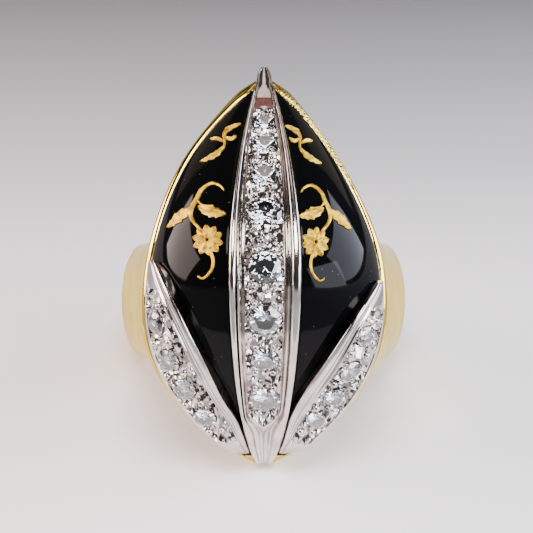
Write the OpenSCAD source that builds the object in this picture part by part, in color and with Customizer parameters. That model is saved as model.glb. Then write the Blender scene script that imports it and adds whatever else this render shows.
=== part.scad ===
// Tulip ring in yellow and white gold, with black enamel, gold inlays and diamonds.
// It is drawn with the finger along Z, the head towards -Y and the tulip's tip up.
// At the end it is tipped onto its blunt end and the edge of its shank, as it rests.

/* [Finger] */
// Radius of the finger hole
finger_r = 8.65; // [8.5:0.05:8.8]

/* [Shank] */
// Thickness on the palm side
back_t = 1.6; // [1.4:0.1:2]
// Thickness at the sides
side_t = 2.2; // [2:0.1:2.4]
// Width on the palm side
back_w = 3.6; // [3:0.1:4.4]
// Width at the sides
side_w = 8.6; // [7.8:0.1:9]
// Height of the straight edge under the half-round crown
edge_t = 0.5; // [0.3:0.1:0.8]

/* [Head] */
// Reach of the pointed tip from the middle of the shank
tip_z = 16.9; // [16.5:0.1:17.5]
// Reach of the blunt end from the middle of the shank
foot_z = 11.4; // [11.3:0.1:11.5]
// Width across the head
head_w = 17.2; // [17.15:0.05:17.3]
// Height of the crest above the middle of the finger
crest_h = 20.8; // [20.5:0.1:22]
// Place of the highest point along the finger
apex_z = 2.5; // [2:0.1:2.7]
// Rise of the crest for each millimetre along, far from the highest point
crest_slope = 1.08; // [1:0.01:1.1]
// How gently the crest turns over
crest_round = 6.3; // [5.5:0.1:7]
// Height of the rim above the middle of the finger at both ends
rim_end_h = 9; // [8.9:0.05:9.2]
// Height of the rim where the head is widest
rim_mid_h = 12; // [11.8:0.1:12.4]
// Thickness of the enamel
enamel_t = 0.4; // [0.3:0.05:0.5]

/* [Centre band] */
// Width where it is widest
band_w = 4.84; // [4.6:0.02:5]
// Height of its rails above the enamel
band_rise = 0.95; // [0.9:0.05:1]
// Width of the bed between the rails
bed_w = 2.56; // [2.5:0.02:2.7]
// Depth of the bed below the rails
bed_depth = 0.4; // [0.3:0.05:0.45]

/* [Side leaves] */
// Where the upper end of the left leaf lies along the finger
left_leaf_z = 2.9; // [2.7:0.1:3]
// Where the upper end of the right leaf lies along the finger
right_leaf_z = 1.6; // [1.6:0.05:1.7]
// Strip of enamel and rim left outside the leaf
leaf_inset = 0.45; // [0.42:0.01:0.5]

/* [Setting and inlays] */
// Radius of the beads that hold the stones
bead_r = 0.28; // [0.24:0.01:0.3]
// Thickness of the gold inlays
inlay_t = 0.1; // [0.08:0.01:0.14]
// Gap kept between separate pieces
gap = 0.06; // [0.05:0.01:0.07]

/* [Hidden] */

yellow_gold = [0.90, 0.76, 0.42];
white_gold = [0.83, 0.82, 0.80];
black_enamel = [0.05, 0.05, 0.06];
diamond = [0.92, 0.95, 0.97];

// Columns: place along the finger, diameter
centre_stones = [
    [12.86, 1.66],
    [11.25, 1.90],
    [9.04, 2.02],
    [6.44, 2.26],
    [2.5, 2.14],
    [-1.18, 2.24],
    [-3.98, 1.94],
    [-6.86, 2.16]
];
// Columns: place along the finger, place across the leaf from 0 inside to 1 outside, diameter
left_stones = [
    [-0.8, 0.74, 1.60],
    [-3.2, 0.71, 1.72],
    [-5.15, 0.69, 1.70],
    [-7.2, 0.7, 1.60]
];
right_stones = [
    [-1.65, 0.6, 1.50],
    [-3.95, 0.63, 1.60],
    [-5.8, 0.63, 1.56],
    [-7.35, 0.57, 1.40]
];

// Outlines of the head and of the centre band, seen from the front: parabolas towards the tip.
// The band's rounded tip stands beyond the shell's.
wide_z = -0.5;
head_half = head_w / 2;
band_wide_z = 2;
band_half_w = band_w / 2;
head_reach = 0.994;
band_reach = 0.955;
foot_reach = 0.974;
foot_power = 0.8;
shell_tip_z = tip_z - 1.05;
shell_round = 1.15;
shell_blunt = 0.92;
horn_half = 0.56;
horn_round = 1.25;
function reach(z, from, to, share) = share * abs(z - from) / abs(to - from);
function cap(z, start, length) = sqrt(1 - pow(max(0, z - start) / length, 2));
function half_w(z) = z > wide_z
    ? head_half * (1 - pow(reach(z, wide_z, tip_z, head_reach), 2))
        * cap(min(z, shell_tip_z), shell_tip_z - shell_blunt * shell_round, shell_round)
    : head_half * pow(1 - pow(reach(z, wide_z, -foot_z, foot_reach), 2), foot_power);
function band_half(z) = z > band_wide_z
    ? max(band_half_w * (1 - pow(reach(z, band_wide_z, tip_z, band_reach), 2)),
        z < tip_z - horn_round ? 0 : horn_half * cap(z, tip_z - horn_round, horn_round))
    : band_half_w * sqrt(1 - pow(reach(z, band_wide_z, -foot_z, foot_reach), 2));

// The head is a little fuller on the left between these places, and slimmer on the right
full_from = 3;
full_to = 17;
full_most = 0.22;
function fuller(z) = z > full_from && z < full_to
    ? full_most * pow(sin(180 * (z - full_from) / (full_to - full_from)), 2)
    : 0;

// Heights above the middle of the finger: crest of the band, enamel under it, and rim
function run(z) = crest_slope * (z - apex_z);
function crest(z) = crest_h + crest_round - norm([crest_round, run(z)]);
function fall(z) = -crest_slope * run(z) / norm([crest_round, run(z)]);
function rise(z) = band_rise * (0.5 + 0.5 * band_half(z) / band_half_w);
function dome(z) = crest(z) - rise(z) * norm([1, fall(z)]);
rim_power = 1.5;
function rim(z) = rim_end_h + (rim_mid_h - rim_end_h) * pow(half_w(z) / head_half, rim_power);

// The enamel's surface: turn runs from -90 at the left rim to 90 at the right one. The left
// panel is drawn at the right and mirrored, with -1 for its side.
arch_power = 2.6;
small_z = 0.02;
small_turn = 0.5;
function unit(v) = v / norm(v);
function arch(turn) = sign(cos(turn)) * sqrt(1 - pow(abs(sin(turn)), arch_power));
function skin(z, turn, side = 1) = [
    half_w(z) * sin(turn) - side * fuller(z) * pow(sin(turn), 2),
    -rim(z) - (dome(z) - rim(z)) * arch(turn),
    z
];
function out_of_skin(z, turn, side) = unit(cross(
    skin(z, turn + small_turn, side) - skin(z, turn - small_turn, side),
    skin(z + small_z, turn, side) - skin(z - small_z, turn, side)));
function on_skin(z, turn, off, side = 1) = skin(z, turn, side) + off * out_of_skin(z, turn, side);
function turn_at(z, x) = asin(max(-1, min(1, x / half_w(z))));

// Rows from the blunt end to the tip, closer together near both ends
function rows(from, to, count) =
    [for (i = [0 : count]) from + (to - from) * (1 - cos(180 * i / count)) / 2];
function steps(from, to, count) = [for (i = [0 : count]) from + (to - from) * i / count];
skin_rows = rows(-foot_z, shell_tip_z, 29);
function rows_between(from, to) = [for (z = skin_rows) if (z > from && z < to) z];

// A closed plate between an upper and a lower grid of points
module slab(upper, lower) {
    m = len(upper);
    n = len(upper[0]);
    around = concat(
        [for (i = [0 : m - 2]) [i * n, (i + 1) * n]],
        [for (j = [0 : n - 2]) [(m - 1) * n + j, (m - 1) * n + j + 1]],
        [for (i = [m - 1 : -1 : 1]) [i * n + n - 1, (i - 1) * n + n - 1]],
        [for (j = [n - 1 : -1 : 1]) [j, j - 1]]
    );
    cells = [for (i = [0 : m - 2], j = [0 : n - 2]) i * n + j];
    under = m * n;
    polyhedron(
        points = concat([for (row = upper) each row], [for (row = lower) each row]),
        faces = concat(
            [for (c = cells) each [[c, c + n, c + n + 1], [c, c + n + 1, c + 1]]],
            [for (c = cells) each [
                [under + c, under + c + n + 1, under + c + n],
                [under + c, under + c + 1, under + c + n + 1]
            ]],
            [for (e = around) each [
                [e[1], e[0], under + e[0]],
                [e[1], under + e[0], under + e[1]]
            ]]
        ),
        convexity = 10
    );
}

// Shank: a half-round crown swept round the finger, its shoulders rising to the rim
turn_end = 148;
lip_end = 140;
lean = 0.209;
bore_cut = 0.6;
inner_end = 14.45;
crown_loss = 0.45;
function shank_half(a) = abs(a) > 90
    ? side_w / 2
    : back_w / 2 + (side_w - back_w) / 2 * pow(sin(a), 2);
function shank_crown(a) = abs(a) > 90
    ? (side_t - edge_t) * (1 - crown_loss * (abs(a) - 90) / (turn_end - 90))
    : back_t - edge_t + (side_t - back_t) * pow(sin(a), 2);
function shank_edge(a) = abs(a) > 90
    ? (finger_r + side_t) / (sin(abs(a)) - lean * cos(a)) - shank_crown(a)
    : finger_r + edge_t;
function shank_in(a) = let (start = finger_r - bore_cut, over = abs(a) - lip_end)
    over <= 0
        ? start
        : start * inner_end * sin(turn_end - lip_end)
            / (inner_end * sin(turn_end - abs(a)) + start * sin(over));
function shank_ring(a) = let (w = shank_half(a)) [
    [shank_in(a) * sin(a), shank_in(a) * cos(a), -w],
    for (b = [-90 : 22.5 : 90])
        let (r = shank_edge(a) + shank_crown(a) * cos(b)) [r * sin(a), r * cos(a), w * sin(b)],
    [shank_in(a) * sin(a), shank_in(a) * cos(a), w]
];
shank_turns = concat(
    [-turn_end, -lip_end - 4],
    steps(-lip_end, lip_end, 38),
    [lip_end + 4, turn_end]
);

module shank() {
    rings = [for (a = shank_turns) shank_ring(a)];
    m = len(rings);
    n = len(rings[0]);
    polyhedron(
        points = [for (ring = rings) each ring],
        faces = concat(
            [[for (j = [0 : n - 1]) j]],
            [[for (j = [n - 1 : -1 : 0]) (m - 1) * n + j]],
            [for (i = [0 : m - 2], j = [0 : n - 1]) let (c = i * n + j, d = i * n + (j + 1) % n)
                each [[c, c + n, d + n], [c, d + n, d]]]
        ),
        convexity = 10
    );
}

// Shell: a dome with a raised rim round a tray for the enamel, hollow underneath
hollow_across = 0.878;
hollow_pinch = 0.35;
hollow_along = 0.86;
hollow_up = 0.8;
hollow_z = 1.5;
end_flat = 0.1;
slim_half = 1.6;
broad_half = 2.6;
rim_proud = [0.02, 0.05];
rim_share = 0.5;
// Columns: place along the finger, width of the rim as seen from the front
rim_widths = [[0, 0.24], [10.5, 0.27], [12, 0.42], [13.5, 0.62], [14.9, 1]];
function full(z) = max(0, min(1, (half_w(z) - slim_half) / (broad_half - slim_half)));
function tray(z) = (enamel_t + gap) * full(z);
function proud(z) = rim_proud[0] + (rim_proud[1] - rim_proud[0]) * full(z);
function rim_strip(z) = min(rim_share * half_w(z), lookup(z, rim_widths));
function rim_turn(z) = asin(1 - rim_strip(z) / half_w(z));
function shell_row(z) = let (r = rim_turn(z)) [
    on_skin(z, -90, 0),
    on_skin(z, -45 - r / 2, proud(z)),
    on_skin(z, -r, proud(z)),
    for (t = steps(-r, r, 10)) on_skin(z, t, -tray(z)),
    on_skin(z, r, proud(z)),
    on_skin(z, 45 + r / 2, proud(z)),
    on_skin(z, 90, 0)
];
function hollow_row(z, n) = let (at = hollow_z + (z - hollow_z) * hollow_along)
    [for (t = steps(-90, 90, n - 1)) [
        (hollow_across - hollow_pinch * (1 - full(z))) * half_w(z) * sin(t)
            - fuller(at) * pow(sin(t), 2),
        -rim(at) - hollow_up * (dome(z) - rim(z)) * arch(t),
        at
    ]];
function end_row(row) = [for (p = row) [p[0], row[0][1] + end_flat, row[0][2]]];

module shell() {
    outer = [for (z = skin_rows) shell_row(z)];
    inner = [for (z = skin_rows) hollow_row(z, len(outer[0]))];
    last = len(skin_rows) - 1;
    slab(
        concat([end_row(outer[0])], outer, [end_row(outer[last])]),
        concat([end_row(inner[0])], inner, [end_row(inner[last])])
    );
}

module gold_shank_and_shell() {
    // The two swept forms are joined at their own size before the bore is cut
    color(yellow_gold) difference() {
        resize([0, 0, 0]) {
            shank();
            shell();
        }
        cylinder(h = 4 * side_w, r = finger_r, center = true, $fn = 96);
    }
}

// Enamel: one panel on each side of the band, lying in the shell's tray
enamel_foot_z = -10.9;
enamel_tip_z = tip_z - 1.9;
function enamel_row(z, off, side) = let (
    a = turn_at(z, band_half(z) + gap),
    b = turn_at(z, half_w(z) - rim_strip(z) - gap)
) [for (t = steps(a, b, 6)) on_skin(z, t, off, side)];

module enamel(side) {
    zs = rows_between(enamel_foot_z, enamel_tip_z);
    color(black_enamel) slab(
        [for (z = zs) enamel_row(z, 0, side)],
        [for (z = zs) enamel_row(z, gap - tray(z), side)]
    );
}

module enamel_right() {
    enamel(1);
}

module enamel_left() {
    mirror([1, 0, 0]) enamel(-1);
}

// Stones: round cut, the girdle at height 0 and the table up
crown_h = 0.15;
girdle_h = 0.03;
pavilion_h = 0.4;
table_share = 0.58;
thin = 0.001;
module stone(d) {
    hull() {
        translate([0, 0, crown_h * d - thin])
            rotate(22.5) cylinder(d = table_share * d, h = thin, $fn = 8);
        cylinder(d = d, h = girdle_h * d, $fn = 16);
        translate([0, 0, -pavilion_h * d]) cylinder(d = 0.02 * d, h = thin, $fn = 4);
    }
}

// Puts things at a point of a surface, with their Z along the way out and their X across
module stand(at, out) {
    side = unit([-out[1], out[0], 0]);
    up = cross(out, side);
    multmatrix([
        [side[0], up[0], out[0], at[0]],
        [side[1], up[1], out[1], at[1]],
        [side[2], up[2], out[2], at[2]],
        [0, 0, 0, 1]
    ]) children();
}

// A bead sinks into the metal by half its radius
module bead() {
    hull() {
        translate([0, 0, -bead_r / 2]) cylinder(r = bead_r, h = bead_r, $fn = 6);
        translate([0, 0, bead_r * 0.8]) cylinder(r = bead_r / 2, h = thin, $fn = 6);
    }
}

seat_sides = 12;
module seat(d) {
    cylinder(r = (d / 2 + gap) / cos(180 / seat_sides), h = 6 * d, center = true, $fn = seat_sides);
}

// Centre band: two stepped rails beside a bed of stones, along the crest
bed_tip_z = tip_z - 3.2;
bed_foot_z = -8.1;
bed_share = 0.62;
bed_edge = -0.14;
bead_apart = 0.27;
sunk = 0.02;
// Columns: place across the rail from 0 outside to 1 at the bed, height
rail_steps = [
    [0, -0.28],
    [0.1, -0.06],
    [0.42, -0.02],
    [0.52, -0.17],
    [0.62, -0.10],
    [0.88, bed_edge]
];
function bed_half(z) =
    min(bed_share * band_half(z), bed_w / 2 * pow(band_half(z) / band_half_w, 0.6));
function bed_fade(z) = max(0, min(1, 1 + 2 * (bed_tip_z - z), 1 + 2 * (z - bed_foot_z)));
function out_of_crest(z) = unit([0, -1, -fall(z)]);
function on_crest(z, x, off) = [x, -crest(z), z] + off * out_of_crest(z);
function band_row(z) = let (
    h = band_half(z),
    rail = h - bed_half(z),
    small = h / band_half_w,
    side = concat(
        [for (s = rail_steps) [h - s[0] * rail, s[1] * small]],
        [[bed_half(z), bed_edge * small - (bed_depth + bed_edge) * bed_fade(z)]]
    )
) concat(
    [for (s = side) on_crest(z, -s[0], s[1])],
    [for (i = [len(side) - 1 : -1 : 0]) on_crest(z, side[i][0], side[i][1])]
);
function band_under(z, n) = let (h = band_half(z)) [
    for (x = steps(-h, h, n - 1)) z < shell_tip_z
        ? on_skin(z, turn_at(z, x), gap - tray(z))
        : [x, -dome(z) - gap, z]
];

module centre_band() {
    zs = concat(
        rows_between(-foot_z - 1, shell_tip_z - 2 * end_flat),
        steps(shell_tip_z, tip_z - end_flat, 3)
    );
    upper = [for (z = zs) band_row(z)];
    color(white_gold) difference() {
        union() {
            slab(upper, [for (z = zs) band_under(z, len(upper[0]))]);
            for (s = centre_stones, way = [-1, 1], side = [-1, 1]) {
                away = s[1] / 2 + gap + bead_r;
                z = s[0] + way * away / norm([1, fall(s[0])]);
                stand(on_crest(z, side * bead_apart * s[1], -bed_depth), out_of_crest(z)) bead();
            }
        }
        for (s = centre_stones)
            stand(on_crest(s[0], 0, -bed_depth), out_of_crest(s[0])) seat(s[1]);
    }
}

module centre_stone(i) {
    s = centre_stones[i];
    color(diamond) stand(on_crest(s[0], 0, sunk - bed_depth), out_of_crest(s[0])) stone(s[1]);
}

// Side leaf: a petal lifted off the enamel towards its outer edge. Its numbers are drawn for the
// right-hand side, and the left leaf is mirrored. Each has a tip, a table of edges and stones.
leaf_foot_z = 1.25 - foot_z;
leaf_drop = 0.65;
leaf_air = 0.12;
leaf_lift = 0.3;
leaf_thick = 0.38;
leaf_raise = 0.55;
leaf_full_w = 1.6;
leaf_top = 0.9;
leaf_lean = 0.72;
plate_length = 1.9;
plate_h = 0.2;
first_bead = 1.15;
last_bead = 0.85;
leaf_bead_apart = 0.16;
// Columns: place along the finger, then the distances from the middle of the foot of the leaf's
// inner wall and of its rail's inner and outer edges
left_edges = [
    [-10.6, 1, 1.05, 1.4],
    [-8.1, 1.7, 1.85, 2.55],
    [-6.6, 2.3, 2.85, 3.6],
    [-3.8, 3.8, 4.1, 5.1],
    [-1, 5.1, 5.45, 6.4],
    [1.7, 6.2, 6.65, 7.5],
    [2.9, 6.45, 7.15, 7.7]
];
right_edges = [
    [-10.6, 1, 1.05, 1.35],
    [-8.1, 1.6, 1.7, 2.5],
    [-6.7, 1.9, 2.3, 3.4],
    [-4.5, 3.4, 3.7, 4.9],
    [-1.7, 5.15, 5.5, 6.4],
    [-0.4, 5.75, 6.4, 7.15],
    [1.5, 6.6, 7.5, 7.9]
];
left_leaf = [left_leaf_z, left_edges, left_stones];
right_leaf = [right_leaf_z, right_edges, right_stones];
// Columns: place across the rail from 0 at its inner edge to 1 at the bed, height
leaf_rail = [
    [0, 0.24],
    [0.25, 0.32],
    [0.5, 0.30],
    [0.66, 0.12],
    [0.9, 0.26]
];
// Columns: place across from 0 at the rail to 1 at the outer edge, height
leaf_bed = [
    [0, 0],
    [0.46, 0],
    [0.9, 0],
    [0.93, 0.14],
    [1, 0.10]
];
function leaf_edge(leaf, z, k) = lookup(z, [for (row = leaf[1]) [row[0], row[k]]]);
// Seen from the front, the leaf's top lies a little lower than its foot
function seen_z(z) = z + leaf_top * out_of_crest(z)[2];
function leaf_foot(leaf, z) =
    max(band_half(z) + gap, leaf_edge(leaf, z, 1), leaf_in(leaf, z) - leaf_lean);
function leaf_in(leaf, z) = max(band_half(seen_z(z)) + gap, leaf_edge(leaf, seen_z(z), 2));
function leaf_out(z) = half_w(z - leaf_drop) - leaf_inset;
function leaf_width(leaf, z) = leaf_out(z) - leaf_in(leaf, z);
function rail_share(leaf, z) = (leaf_edge(leaf, seen_z(z), 3) - leaf_in(leaf, z)) / leaf_width(leaf, z);
function leaf_small(leaf, z) = z > wide_z ? 1 : min(1, leaf_width(leaf, z) / leaf_full_w);
function leaf_at(leaf, z, c, h) =
    skin(z, turn_at(z, leaf_in(leaf, z) + leaf_width(leaf, z) * c))
        + (leaf_lift + (leaf_thick + leaf_raise * c + h) * leaf_small(leaf, z)) * out_of_crest(z);
function out_of_leaf(leaf, z, c) = unit(cross(
    leaf_at(leaf, z, c + 0.05, 0) - leaf_at(leaf, z, c - 0.05, 0),
    leaf_at(leaf, z + 0.1, c, 0) - leaf_at(leaf, z - 0.1, c, 0)));
function leaf_steps(leaf, z) = let (
    plate = plate_h * max(0, min(1, 2 * (z - leaf[0] + plate_length))),
    rail = rail_share(leaf, z)
) concat(
    [for (s = leaf_rail) [rail * s[0], s[1]]],
    [for (s = leaf_bed) [rail + (1 - rail) * s[0], max(s[1], plate)]]
);
function leaf_row(leaf, z) = [for (s = leaf_steps(leaf, z)) leaf_at(leaf, z, s[0], s[1])];
function leaf_under(leaf, z) = let (foot = leaf_foot(leaf, z)) [
    for (s = leaf_steps(leaf, z))
        on_skin(z, turn_at(z, foot + (leaf_out(z) - foot) * s[0]), leaf_air)
];
function leaf_bead_z(stones, i) = i == 0 ? stones[0][0] + first_bead
    : i == len(stones) ? stones[i - 1][0] - last_bead
    : (stones[i - 1][0] + stones[i][0]) / 2;

module leaf(leaf) {
    tip = leaf[0];
    stones = leaf[2];
    zs = concat([leaf_foot_z], rows_between(leaf_foot_z, tip), [tip]);
    color(white_gold) difference() {
        union() {
            slab([for (z = zs) leaf_row(leaf, z)], [for (z = zs) leaf_under(leaf, z)]);
            for (i = [0 : len(stones)], side = [-1, 1]) {
                z = leaf_bead_z(stones, i);
                c = stones[min(i, len(stones) - 1)][1] + side * leaf_bead_apart;
                stand(leaf_at(leaf, z, c, 0), out_of_leaf(leaf, z, c)) bead();
            }
        }
        for (s = stones)
            stand(leaf_at(leaf, s[0], s[1], 0), out_of_leaf(leaf, s[0], s[1])) seat(s[2]);
    }
}

module leaf_stone(leaf, i) {
    s = leaf[2][i];
    color(diamond)
        stand(leaf_at(leaf, s[0], s[1], sunk), out_of_leaf(leaf, s[0], s[1])) stone(s[2]);
}

module leaf_left() {
    mirror([1, 0, 0]) leaf(left_leaf);
}

module leaf_right() {
    leaf(right_leaf);
}

module left_stone(i) {
    mirror([1, 0, 0]) leaf_stone(left_leaf, i);
}

module right_stone(i) {
    leaf_stone(right_leaf, i);
}

// Inlays: sprays drawn flat as seen from the front, and pressed onto the enamel
function between(a, b, c, d, t) = 0.5 * (2 * b + (c - a) * t
    + (2 * a - 5 * b + 4 * c - d) * t * t + (3 * b - a - 3 * c + d) * t * t * t);
function curve(p, n) = concat(
    [for (i = [0 : len(p) - 2], k = [0 : n - 1])
        between(p[max(i - 1, 0)], p[i], p[i + 1], p[min(i + 2, len(p) - 1)], k / n)],
    [p[len(p) - 1]]
);

inlay_edge_r = 0.06;
module stem(points, r_start, r_end) {
    path = curve(points, 2);
    last = len(path) - 1;
    for (i = [0 : last - 1]) hull() {
        translate(path[i]) circle(r_start + (r_end - r_start) * i / last, $fn = 6);
        translate(path[i + 1]) circle(r_start + (r_end - r_start) * (i + 1) / last, $fn = 6);
    }
}

module blade(points, w) {
    path = curve(points, 3);
    last = len(path) - 1;
    for (i = [0 : last - 1]) hull() {
        translate(path[i])
            circle(inlay_edge_r + w / 2 * pow(sin(180 * i / last), 0.7), $fn = 6);
        translate(path[i + 1])
            circle(inlay_edge_r + w / 2 * pow(sin(180 * (i + 1) / last), 0.7), $fn = 6);
    }
}

module flower(at, r) {
    petals = 9;
    translate(at) {
        circle(r * 0.5, $fn = petals * 2);
        for (k = [0 : petals - 1]) rotate(360 / petals * k) hull() {
            translate([r * 0.4, 0]) circle(r * 0.17, $fn = 6);
            translate([r * 0.66, 0]) circle(r * 0.2, $fn = 6);
            translate([r * 0.93, 0]) circle(r * 0.07, $fn = 6);
        }
    }
}

module spray() {
    stem([[2.8, 7.62], [3.46, 8.09], [4.1, 7.85], [4.6, 7.3], [4.8, 6.8], [4.94, 6.3]], 0.07, 0.13);
    stem([[4.94, 6.3], [4.74, 5.61], [4.1, 4.8]], 0.13, 0.1);
    stem([[4.6, 7.3], [4.4, 6.85], [4.1, 6.6]], 0.1, 0.12);
    blade([[4.35, 6.75], [3.6, 6.25], [2.62, 6.12]], 0.66);
    blade([[5.0, 6.35], [5.7, 5.9], [6.45, 5.25]], 0.56);
    flower([3.77, 4.34], 0.96);
    stem([[3.7, 3.9], [3.43, 2.79], [3.66, 2.15], [4.13, 1.82], [4.5, 2.0]], 0.12, 0.07);
}

module sprig() {
    blade([[1.9, 12.38], [2.4, 12.2], [2.9, 11.6]], 0.3);
    stem([[2.9, 11.6], [2.85, 11.1], [2.95, 10.67]], 0.08, 0.1);
    blade([[1.98, 11.45], [2.9, 11.36], [3.75, 11.2]], 0.2);
    blade([[2.9, 10.8], [3.5, 10.3], [4.5, 9.77]], 0.36);
}

// Columns: across scale, along shift; the right-hand art is a little narrower and lower
left_fit = [1, 0];
right_fit = [0.88, -0.15];
module pressed(z_low, z_high, fit, side) {
    zs = rows_between(z_low, z_high);
    intersection() {
        slab(
            [for (z = zs) enamel_row(z, gap + inlay_t, side)],
            [for (z = zs) enamel_row(z, gap, side)]
        );
        rotate([90, 0, 0]) linear_extrude(height = 2 * crest_h)
            translate([0, fit[1]]) scale([fit[0], 1]) children();
    }
}

module spray_right() {
    color(yellow_gold) pressed(0, 10, right_fit, 1) spray();
}

module spray_left() {
    color(yellow_gold) mirror([1, 0, 0]) pressed(0, 10, left_fit, -1) spray();
}

module sprig_right() {
    color(yellow_gold) pressed(7, 15, right_fit, 1) sprig();
}

module sprig_left() {
    color(yellow_gold) mirror([1, 0, 0]) pressed(7, 15, left_fit, -1) sprig();
}

// Rest: the lowest point of the blunt end and that of the shank's edge come level
function height_of(p, tilt) = p[2] * cos(tilt) - p[1] * sin(tilt);
foot_point = [0, end_flat - rim(-foot_z), -foot_z];
back_points = [for (a = steps(0, 36, 6)) each shank_ring(a)];
function back_low(tilt) = min([for (p = back_points) height_of(p, tilt)]);
function settle(low, high, tries) = let (mid = (low + high) / 2)
    tries == 0 ? mid
    : height_of(foot_point, mid) < back_low(mid) ? settle(mid, high, tries - 1)
    : settle(low, mid, tries - 1);
rest_tilt = settle(10, 45, 24);
function depth_of(p) = p[1] * cos(rest_tilt) + p[2] * sin(rest_tilt);
front_y = min([for (z = steps(-foot_z, tip_z, 80)) depth_of(on_crest(z, 0, 0))]);
back_y = max([for (p = back_points) depth_of(p)]);

module rest() {
    translate([0, -(front_y + back_y) / 2, -back_low(rest_tilt)])
        rotate([-rest_tilt, 0, 0]) children();
}

rest() gold_shank_and_shell();
rest() enamel_left();
rest() enamel_right();
rest() centre_band();
rest() leaf_left();
rest() leaf_right();
rest() spray_left();
rest() spray_right();
rest() sprig_left();
rest() sprig_right();
for (i = [0 : len(centre_stones) - 1])
    rest() centre_stone(i);
for (i = [0 : len(left_stones) - 1])
    rest() left_stone(i);
for (i = [0 : len(right_stones) - 1])
    rest() right_stone(i);
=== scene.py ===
# Tulip ring: yellow gold shank and shell, black enamel, gold inlays, white gold band and
# leaves set with round diamonds. It lies on its blunt end and on the edge of its shank.
import math
import random

import bpy
from mathutils import Matrix, Vector


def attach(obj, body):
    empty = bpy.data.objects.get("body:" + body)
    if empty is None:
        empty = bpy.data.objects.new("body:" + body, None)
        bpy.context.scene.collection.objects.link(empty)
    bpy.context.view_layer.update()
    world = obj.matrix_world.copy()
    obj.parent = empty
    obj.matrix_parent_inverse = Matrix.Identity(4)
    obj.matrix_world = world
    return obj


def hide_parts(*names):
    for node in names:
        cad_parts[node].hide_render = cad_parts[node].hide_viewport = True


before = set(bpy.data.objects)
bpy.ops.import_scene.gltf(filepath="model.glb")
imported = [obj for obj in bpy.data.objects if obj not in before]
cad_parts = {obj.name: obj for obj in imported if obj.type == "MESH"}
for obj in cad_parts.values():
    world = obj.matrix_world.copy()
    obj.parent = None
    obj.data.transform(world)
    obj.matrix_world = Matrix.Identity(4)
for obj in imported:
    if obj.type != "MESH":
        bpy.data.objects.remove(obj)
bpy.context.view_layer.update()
bpy.ops.object.select_all(action="DESELECT")
print("frame loaded")

# The ring is worked out in millimetres, with the finger along z, the head towards -y and the
# tulip's tip up. These values are the ones that the solids were drawn with.
ring = {
    "fingerRadius": 8.65,
    "restTilt": 27.6877,      # degrees that the head leans back where it lies
    "shiftY": 4.28844,
    "shiftZ": 5.91972,
    "tipZ": 16.9,
    "shellTipZ": 15.85,
    "footZ": -11.4,
    "wideZ": -0.5,
    "headHalf": 8.6,
    "headReach": 0.994,
    "footReach": 0.974,
    "footPower": 0.8,
    "tipRound": 1.15,
    "tipBlunt": 0.92,
    "fullFrom": 3.0,          # between these places the head is fuller on the left
    "fullTo": 17.0,
    "fullMost": 0.22,
    "crestHeight": 20.8,
    "crestRound": 6.3,
    "crestSlope": 1.08,
    "apexZ": 2.5,
    "rimEnd": 9.0,
    "rimMiddle": 12.0,
    "rimPower": 1.5,
    "archPower": 2.6,
    "gap": 0.06,
}
band = {
    "half": 2.42,
    "wideZ": 2.0,
    "reach": 0.955,
    "hornHalf": 0.56,
    "hornRound": 1.25,
    "hornFromZ": 14.9,        # from here up the horn is rounded across
    "hornCrown": 0.16,
    "rise": 0.95,
    "railShare": 0.26,        # share of the columns that each rail gets
    "bedHalf": 1.28,
    "bedShare": 0.62,
    "bedShift": -0.08,        # the right-hand inner wall is the wider one
    "bedDepth": 0.4,
    "bedTipZ": 13.3,
    "bedFootZ": -8.1,
    # the plate above the last stone leans back, and the horn rises from it
    "plateDrop": [(13.3, 0), (14.7, 0.3), (15.0, 0.3), (16.9, 0.05)],
    "columns": 96,
    "rows": 320,
}
# place along the finger, diameter
centreStones = [
    (12.86, 1.66), (11.25, 1.90), (9.04, 2.02), (6.44, 2.26),
    (2.5, 2.14), (-1.18, 2.24), (-3.98, 1.94), (-6.86, 2.16),
]


def smooth(value):
    value = max(0.0, min(1.0, value))
    return value * value * (3 - 2 * value)


def lookup(place, table):
    # straight lines between the rows of a table
    if place <= table[0][0]:
        return table[0][1]
    for (a, low), (b, high) in zip(table, table[1:]):
        if place <= b:
            return low + (high - low) * (place - a) / (b - a)
    return table[-1][1]


def softLookup(place, table, reach):
    # the same table with its corners eased over a short reach
    return sum(lookup(place + reach * k / 3, table) for k in range(-3, 4)) / 7


def reachTo(z, start, end, share):
    # the way from start to end, nought to share
    return min(0.9999, share * abs(z - start) / abs(end - start))


def capAt(z, start, length):
    # one up to start, then a quarter of an ellipse down to nought
    return math.sqrt(max(0.0, 1 - (max(0.0, z - start) / length) ** 2))


def halfWidth(z):
    if z > ring["wideZ"]:
        capFrom = ring["shellTipZ"] - ring["tipBlunt"] * ring["tipRound"]
        cap = capAt(min(z, ring["shellTipZ"]), capFrom, ring["tipRound"])
        reach = reachTo(z, ring["wideZ"], ring["tipZ"], ring["headReach"])
        return ring["headHalf"] * (1 - reach ** 2) * cap
    reach = reachTo(z, ring["wideZ"], ring["footZ"], ring["footReach"])
    return ring["headHalf"] * (1 - reach ** 2) ** ring["footPower"]


def bandHalf(z):
    if z < band["wideZ"]:
        reach = reachTo(z, band["wideZ"], ring["footZ"], ring["footReach"])
        return band["half"] * math.sqrt(1 - reach ** 2)
    sides = band["half"] * (1 - reachTo(z, band["wideZ"], ring["tipZ"], band["reach"]) ** 2)
    hornFrom = ring["tipZ"] - band["hornRound"]
    horn = band["hornHalf"] * capAt(z, hornFrom, band["hornRound"]) if z > hornFrom else 0
    return max(sides, horn)


def fuller(z):
    if not ring["fullFrom"] < z < ring["fullTo"]:
        return 0
    along = (z - ring["fullFrom"]) / (ring["fullTo"] - ring["fullFrom"])
    return ring["fullMost"] * math.sin(math.pi * along) ** 2


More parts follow.
